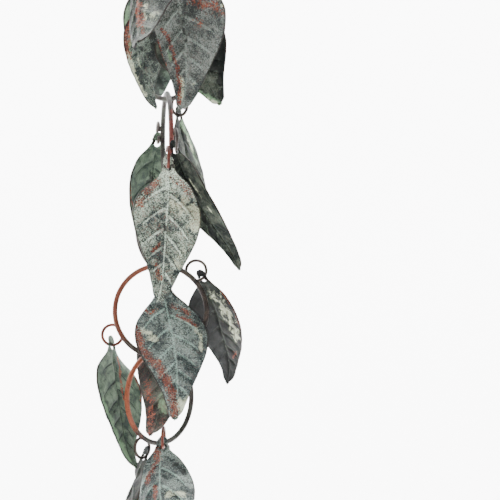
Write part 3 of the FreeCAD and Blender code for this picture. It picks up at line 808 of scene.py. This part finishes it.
class NodeMaker:
    """Short calls for building a shader's nodes."""

    def __init__(self, material: bpy.types.Material) -> None:
        """Empties the material's node tree."""
        material.use_nodes = True
        self.tree = material.node_tree
        self.tree.nodes.clear()

    def add(self, kind: str, **values: object) -> bpy.types.Node:
        """A new node with properties set."""
        node = self.tree.nodes.new(kind)
        for key, value in values.items():
            setattr(node, key, value)
        return node

    def link(self, source: Socket, target: Socket) -> None:
        """Joins two sockets."""
        self.tree.links.new(source, target)

    def feed(self, socket: Socket, value: object) -> None:
        """Sets a socket to a constant or joins it to another socket."""
        if isinstance(value, Socket):
            self.link(value, socket)
        elif isinstance(value, tuple) and len(value) == 3 and socket.type == "RGBA":
            socket.default_value = (*value, 1.0)
        else:
            socket.default_value = value

    def math(self, operation: str, a: object, b: object = 0.0, c: object = 0.0) -> Socket:
        """A math node's result."""
        node = self.add("ShaderNodeMath", operation=operation)
        self.feed(node.inputs[0], a)
        self.feed(node.inputs[1], b)
        self.feed(node.inputs[2], c)
        return node.outputs[0]

    def times(self, a: object, b: object) -> Socket:
        """The product of two values."""
        return self.math("MULTIPLY", a, b)

    def blend(self, a: object, b: object, share: float) -> Socket:
        """Mixes two values: this share of the first, the rest of the second."""
        return self.math("ADD", self.times(a, share), self.times(b, 1.0 - share))

    def pushed(self, value: object, by: object, amount: float) -> Socket:
        """A value pushed up or down by a noise of mean 0.5."""
        return self.math("ADD", value, self.times(self.math("SUBTRACT", by, 0.5), amount))

    def step(self, value: object, low: float, high: float) -> Socket:
        """Smooth step of a value from low to high."""
        node = self.add("ShaderNodeMapRange", interpolation_type="SMOOTHSTEP")
        self.feed(node.inputs["Value"], value)
        node.inputs["From Min"].default_value = low
        node.inputs["From Max"].default_value = high
        return node.outputs["Result"]

    def mix(self, factor: object, a: object, b: object) -> Socket:
        """Mixes two colours."""
        node = self.add("ShaderNodeMix", data_type="RGBA")
        self.feed(node.inputs[0], factor)
        self.feed(node.inputs[6], a)
        self.feed(node.inputs[7], b)
        return node.outputs[2]

    def paint(self, ground: object, mask: object, share: float, colour: object) -> Socket:
        """Lays a share of a colour on the ground where the mask says."""
        return self.mix(self.times(mask, share), ground, colour)

    def grain(self, place: Socket, scale: float, detail: float = 4.0, rough: float = 0.6,
              twist: float = 0.0) -> Socket:
        """A noise value from 0 to 1 at a real-world scale (features of about 1/scale metres)."""
        node = self.add("ShaderNodeTexNoise")
        self.link(place, node.inputs["Vector"])
        node.inputs["Scale"].default_value = scale
        node.inputs["Detail"].default_value = detail
        node.inputs["Roughness"].default_value = rough
        node.inputs["Distortion"].default_value = twist
        return node.outputs[0]

    def shifted(self, amount: float) -> Socket:
        """Object coordinates in metres, moved so that each piece has its own grain."""
        coords = self.add("ShaderNodeTexCoord")
        move = self.add("ShaderNodeMapping")
        self.link(coords.outputs["Object"], move.inputs["Vector"])
        move.inputs["Location"].default_value = (amount, amount * 0.7, amount * 1.3)
        return move.outputs["Vector"]

    def surface(self, colour: Socket, rough: object, metal: object, height: Socket, depth: float,
                shine: float = 0.1) -> None:
        """Ends the tree with one surface.

        Args:
            colour: base colour.
            rough: roughness.
            metal: how metallic, 0 to 1.
            height: relief of the grain.
            depth: its depth, metres.
            shine: strength of the plain reflection.
        """
        body = self.add("ShaderNodeBsdfPrincipled")
        self.link(colour, body.inputs["Base Color"])
        self.feed(body.inputs["Roughness"], rough)
        self.feed(body.inputs["Metallic"], metal)
        body.inputs["Specular IOR Level"].default_value = shine
        relief = self.add("ShaderNodeBump")
        relief.inputs["Strength"].default_value = 1.0
        relief.inputs["Distance"].default_value = depth
        self.link(height, relief.inputs["Height"])
        self.link(relief.outputs["Normal"], body.inputs["Normal"])
        out = self.add("ShaderNodeOutputMaterial")
        self.link(body.outputs["BSDF"], out.inputs["Surface"])


@dataclass
class SheetFinish:
    """Makes the patinated sheet of one leaf, with its painted shade and highlight.

    Args:
        seed: shift of the grain, so that no two leaves match.
        cloud_scale: the broad mottling, features per metre.
        patch_scale: the ragged edges of patches.
        speck_scale: the fine grain.
        grit_scale: the grain that breaks up the red.
        edge: from where to where across the half width the rim darkens, 0 to 1.
        relief: depth of the grain, metres.
    """

    name: str
    patina: Patina
    seed: float
    cloud_scale: float = 62.0
    patch_scale: float = 230.0
    speck_scale: float = 1250.0
    grit_scale: float = 1100.0
    edge: Tuple[float, float] = (0.94, 0.98)
    relief: float = 0.00025

    def build(self) -> bpy.types.Material:
        """The material, reading the tints and lines stored on the leaf's points."""
        p = self.patina
        material = bpy.data.materials.new(self.name)
        n = NodeMaker(material)
        place = n.shifted(self.seed)
        cloud = n.grain(place, self.cloud_scale, 4.0, 0.55, 0.6)
        patch = n.grain(place, self.patch_scale, 5.0, 0.65, 0.5)
        speck = n.grain(place, self.speck_scale, 3.0, 0.6)
        grit = n.grain(n.shifted(self.seed + 5.0), self.grit_scale, 2.0, 0.5)
        worn = n.blend(patch, speck, 0.35)
        tints = n.add("ShaderNodeAttribute", attribute_name="tints")
        tint = n.add("ShaderNodeSeparateColor")
        n.link(tints.outputs["Color"], tint.inputs[0])
        ground = n.mix(n.step(n.blend(cloud, patch, 0.6), 0.40, 0.61), p.low, p.high)
        ground = n.mix(self.cover(n, tints.outputs["Alpha"], patch, RAGGED[Tint.GREEN]), ground, GREEN)
        # pale patches: patina, and one painted highlight on a fold
        pale = n.mix(n.step(cloud, 0.42, 0.58), tuple(c * 0.8 for c in PALE_AND_HIGHLIGHT), PALE_AND_HIGHLIGHT)
        ground = n.mix(self.cover(n, tint.outputs[Tint.PALE_AND_HIGHLIGHT.value], patch, RAGGED[Tint.PALE_AND_HIGHLIGHT]), ground, pale)
        lines = n.add("ShaderNodeAttribute", attribute_name="lines")
        line = n.add("ShaderNodeSeparateColor")
        n.link(lines.outputs["Color"], line.inputs[0])
        ground = self.draw_veins(n, ground, line, lines.outputs["Alpha"], worn, cloud)
        lit = n.step(n.pushed(speck, cloud, 0.4), 0.55, 0.62)
        bright = tuple(min(c * 1.9 + 0.01, 1.0) for c in p.high)
        ground = n.paint(ground, lit, p.speckle * 0.6, bright)
        stray = n.step(n.pushed(grit, patch, 0.7), 0.56, 0.63)
        ground = n.paint(ground, stray, p.rust, RED)
        red = self.cover(n, tint.outputs[Tint.RED.value], n.blend(patch, grit, 0.5), RAGGED[Tint.RED])
        worn_red = n.math("MULTIPLY_ADD", n.step(grit, 0.42, 0.56), 0.42, 0.48)
        copper = n.mix(n.step(worn, 0.47, 0.62), RED, ORANGE)
        ground = n.mix(n.times(red, worn_red), ground, copper)
        pits = n.step(n.pushed(speck, patch, 0.5), 0.475, 0.425)
        ground = n.paint(ground, pits, p.speckle * 0.75, PIT)
        # dark patches: patina, and painted shade on shaded sides and folds
        dark = self.cover(n, tint.outputs[Tint.DARK_AND_SHADE.value], patch, RAGGED[Tint.DARK_AND_SHADE])
        ground = n.paint(ground, dark, 0.85, DARK_AND_SHADE)
        ground = n.paint(ground, n.step(line.outputs[2], *self.edge), 0.85, p.rim)
        rough = n.math("ADD", n.times(speck, 0.25), p.rough - 0.12)
        n.surface(ground, rough, n.times(red, 0.25), n.blend(speck, patch, 0.6), self.relief)
        return material

    def draw_veins(self, n: NodeMaker, ground: Socket, line: bpy.types.Node, foot_shade: Socket, worn: Socket,
                   cloud: Socket) -> Socket:
        """Draws the worn veins and the painted shade along their feet.

        Args:
            n: the material's nodes.
            ground: the colour so far.
            line: side veins and midrib as separate values.
            foot_shade: how much painted shade lies here, along a vein's foot.
            worn: the noise that breaks the veins up.
            cloud: the broad mottling that lets them fade.

        Returns:
            The colour with the veins on it.
        """
        p = self.patina
        shown = n.math("MULTIPLY_ADD", n.step(cloud, 0.38, 0.54), 0.6 * p.vein_show, 0.4 * p.vein_show)
        vein = n.times(n.step(n.pushed(line.outputs[0], worn, 1.0), 0.35, 0.7), shown)
        rib = n.times(n.step(n.pushed(line.outputs[1], worn, 1.0), 0.45, 0.85), p.vein_show * 0.75)
        # painted shade: the low colour laid along the feet of the veins
        ground = n.paint(ground, n.step(foot_shade, 0.2, 1.0), 0.5 * p.vein_show, p.low)
        return n.mix(n.math("MAXIMUM", vein, rib), ground, p.vein)

    @staticmethod
    def cover(n: NodeMaker, mask: Socket, noise_value: Socket, ragged: float) -> Socket:
        """Where a patch shows: whole in its middle and broken up by the noise toward its edge.

        Args:
            n: the material's nodes.
            mask: how much of the patch lies here, 0 to 1.
            noise_value: what breaks it up, about 0.5 on average.
            ragged: how strongly.

        Returns:
            Cover from 0 to 1.
        """
        broken = n.times(n.math("SUBTRACT", noise_value, 0.5), 3.2 * ragged)
        inside = n.times(broken, n.step(mask, 0.0, 0.3))
        return n.step(n.math("ADD", mask, inside), 0.20, 0.78)


@dataclass(frozen=True)
class RodStain:
    """A stain on a rod: centre and reach in mm in the row frame, and its colour."""

    centre: Triple
    reach: float
    colour: Colour


@dataclass
class RodFinish:
    """Makes the patinated rod of a ring or loop."""

    name: str
    low: Colour
    high: Colour
    seed: float
    stains: Sequence[RodStain] = ()

    def build(self) -> bpy.types.Material:
        """The rod's material."""
        material = bpy.data.materials.new(self.name)
        n = NodeMaker(material)
        place = n.shifted(self.seed)
        cloud = n.grain(place, 110.0, 5.0, 0.6, 0.5)
        speck = n.grain(place, 1100.0, 5.0, 0.7)
        ground = n.mix(n.step(cloud, 0.4, 0.6), self.low, self.high)
        coords = n.add("ShaderNodeTexCoord")
        for stain in self.stains:
            far = n.add("ShaderNodeVectorMath", operation="DISTANCE")
            n.link(coords.outputs["Object"], far.inputs[0])
            far.inputs[1].default_value = tuple(c * MM for c in stain.centre)
            ragged = n.pushed(far.outputs["Value"], cloud, 0.03)
            cover = n.step(ragged, stain.reach * MM, stain.reach * 0.6 * MM)
            ground = n.paint(ground, cover, 0.85, stain.colour)
        ground = n.paint(ground, n.step(speck, 0.46, 0.36), 0.7, DARK_AND_SHADE)
        ground = n.paint(ground, n.step(speck, 0.60, 0.70), 0.35, LIGHT_SPECK)
        n.surface(ground, 0.5, 0.15, speck, 0.00018, 0.2)
        return material


@dataclass
class Rods:
    """Dresses the rings and loops of the frame.

    Rods are brown mottled with umber on rings and tan on loops; greyed rings and reddish loops are told
    by number, and copper and bright are the stains of two rings.
    """

    brown: Colour = (0.022, 0.017, 0.015)
    umber: Colour = (0.060, 0.045, 0.036)
    grey: Colour = (0.048, 0.050, 0.040)
    tan: Colour = (0.07, 0.055, 0.045)
    copper: Colour = (0.14, 0.036, 0.018)
    bright: Colour = (0.24, 0.062, 0.028)
    warm: Tuple[Colour, Colour] = ((0.055, 0.018, 0.013), (0.17, 0.045, 0.03))
    greyed: Tuple[int, ...] = (3, 4, 7)
    reddish: Tuple[int, ...] = (9, 14, 17)

    def ring_finish(self, number: int) -> RodFinish:
        """The finish of one big ring, with the stains that show on it."""
        stains = {
            4: (RodStain((3, -28, -180), 14, RED),),
            6: (RodStain((-24, 0, -275), 36, self.copper),),
            7: (RodStain((-22, -20, -335), 30, self.bright),),
        }.get(number, ())
        high = self.grey if number in self.greyed else self.umber
        return RodFinish(f"ring_{number}_rod", self.brown, high, 3.1 * number, stains)

    def loop_finish(self, number: int) -> RodFinish:
        """The finish of one small loop."""
        low, high = self.warm if number in self.reddish else (self.brown, self.tan)
        return RodFinish(f"loop_{number:02d}_rod", low, high, 1.7 * number)

    def dress(self, nodes: dict) -> None:
        """Gives every ring and loop among the frame's nodes its material."""
        for number in range(1, len(RINGS) + 1):
            self.assign(nodes[f"ring_{number}"], self.ring_finish(number).build())
        for number in range(1, len(LEAVES) + 1):
            self.assign(nodes[f"loop_{number:02d}"], self.loop_finish(number).build())
        LOG.info("rods dressed: %d rings, %d loops", len(RINGS), len(LEAVES))

    @staticmethod
    def assign(node: bpy.types.Object, material: bpy.types.Material) -> None:
        """Puts a material in every slot of a node."""
        if not node.material_slots:
            node.data.materials.append(material)
        for slot in node.material_slots:
            slot.material = material


@dataclass(frozen=True)
class Lamp:
    """One square soft light: place, side and target in metres, power in watts."""

    name: str
    where: Triple
    side: float
    power: float
    target: Triple


VIEW_CENTRE: Triple = (0.0498, 0.0, -0.2505)
LAMPS: Tuple[Lamp, ...] = (
    Lamp("key", (-1.3, -1.6, 0.7), 1.2, 36.0, VIEW_CENTRE),
    Lamp("fill", (1.5, -1.5, 0.0), 1.6, 3.0, VIEW_CENTRE),
    Lamp("top", (0.1, -0.2, 1.3), 1.2, 7.0, VIEW_CENTRE),
    Lamp("back", (0.0, 3.6, 4.8), 9.0, 6840.0, (0.0, 9.0, -0.6)),
)


@dataclass
class Studio:
    """Pale stage, soft lights and the camera; metres, the camera's lens in mm."""

    field_width: float = 0.3
    lens: float = 500.0
    sensor: float = 36.0
    clip_end: float = 100.0
    stage_reach: float = 18.0
    floor_height: float = -0.76
    backdrop_depth: float = 9.0
    sky: Colour = (0.95, 0.97, 1.0)
    sky_strength: float = 0.28

    def build(self) -> None:
        """Builds the floor, the backdrop, the lights and the camera."""
        self.place_stage("floor", Matrix.Translation((0, 0, self.floor_height)))
        upright = Matrix.Rotation(math.radians(90), 4, "X")
        self.place_stage("backdrop", Matrix.Translation((0, self.backdrop_depth, 0)) @ upright)
        for lamp in LAMPS:
            self.light(lamp)
        world = bpy.data.worlds.new("studio")
        bpy.context.scene.world = world
        world.use_nodes = True
        ambient = world.node_tree.nodes["Background"]
        ambient.inputs[0].default_value = (*self.sky, 1.0)
        ambient.inputs[1].default_value = self.sky_strength
        self.place_camera()

    def place_stage(self, name: str, place: Matrix) -> None:
        """Makes one pale plane of the stage."""
        bm = bmesh.new()
        bmesh.ops.create_grid(bm, x_segments=1, y_segments=1, size=self.stage_reach)
        bm.transform(place)
        mesh = bpy.data.meshes.new(name)
        bm.to_mesh(mesh)
        bm.free()
        plane = bpy.data.objects.new(name, mesh)
        bpy.context.collection.objects.link(plane)
        material = bpy.data.materials.new(f"{name}_pale")
        n = NodeMaker(material)
        cloud = n.grain(n.shifted(0.0), 3.0, 2.0)
        n.surface(n.mix(cloud, (0.90, 0.90, 0.90), (0.92, 0.92, 0.92)), 0.9, 0.0, cloud, 0.0001)
        mesh.materials.append(material)

    @staticmethod
    def light(lamp: Lamp) -> None:
        """Adds one light."""
        data = bpy.data.lights.new(lamp.name, "AREA")
        data.size = lamp.side
        data.energy = lamp.power
        piece = bpy.data.objects.new(lamp.name, data)
        piece.location = lamp.where
        aim = Vector(lamp.target) - Vector(lamp.where)
        piece.rotation_euler = aim.to_track_quat("-Z", "Y").to_euler()
        bpy.context.collection.objects.link(piece)

    def place_camera(self) -> None:
        """Places the camera level with the middle of the view, looking along +Y."""
        data = bpy.data.cameras.new("camera")
        data.lens = self.lens
        data.sensor_width = self.sensor
        data.clip_end = self.clip_end
        camera = bpy.data.objects.new("camera", data)
        distance = self.field_width * self.lens / self.sensor
        camera.location = (VIEW_CENTRE[0], -distance, VIEW_CENTRE[2])
        camera.rotation_euler = (math.radians(90), 0, 0)
        bpy.context.collection.objects.link(camera)
        bpy.context.scene.camera = camera


def main() -> None:
    """Builds the leaves, dresses the rods and sets the studio."""
    logging.basicConfig(level=logging.INFO, format="%(message)s")
    chain = Chain()
    rings = chain.rings()
    for number, place in enumerate(LEAVES, 1):
        name = f"leaf_{number:02d}"
        leaf = Leaf(f"{name}_sheet", place, rings[place.ring - 1], chain, number)
        piece = leaf.build()
        piece.data.materials.append(SheetFinish(f"{name}_patina", place.patina, 0.37 * number).build())
        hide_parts(name)
        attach(piece, f"{name}_body")
        LOG.info("%s: %d points", piece.name, len(piece.data.vertices))
    Rods().dress(frame["nodes"])
    Studio().build()


if __name__ == "__main__":
    main()
